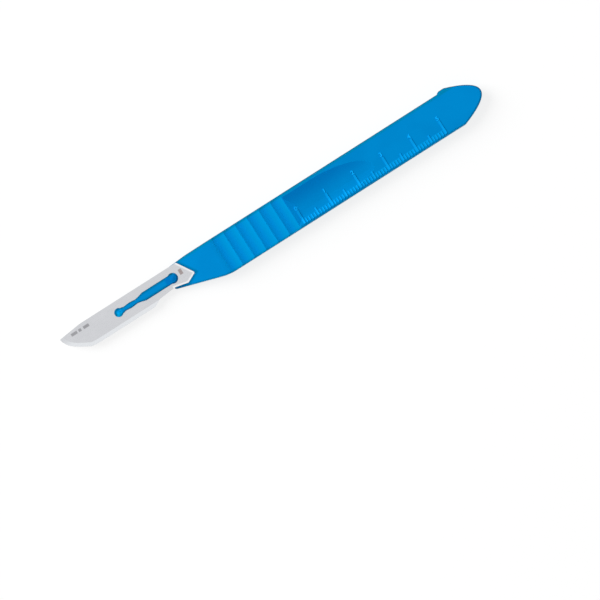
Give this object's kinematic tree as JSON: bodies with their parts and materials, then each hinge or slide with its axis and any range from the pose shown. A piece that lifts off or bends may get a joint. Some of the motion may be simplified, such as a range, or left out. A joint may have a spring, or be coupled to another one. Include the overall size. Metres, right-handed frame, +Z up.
{
  "type": "disposable scalpel",
  "caption": "Slim moulded plastic scalpel handle with finger ribs, thumb rest and raised ruler, and a ground steel blade with a curved edge staked to its nose.",
  "frame": {"origin": "bottom centre of the whole scalpel's box, on the plane that the back of the handle lies on", "axes": "+X from the blade tip towards the butt of the handle, +Y towards the spine of the blade, +Z up, out of the face with the ruler"},
  "size_m": [0.1464, 0.0126, 0.0044],
  "materials": {
    "handle_plastic": "satin",
    "blade_steel": "fine ground"
  },
  "bodies": {
    "root": {"handle": "handle_plastic", "blade": "blade_steel"}
  },
  "joints": []
}
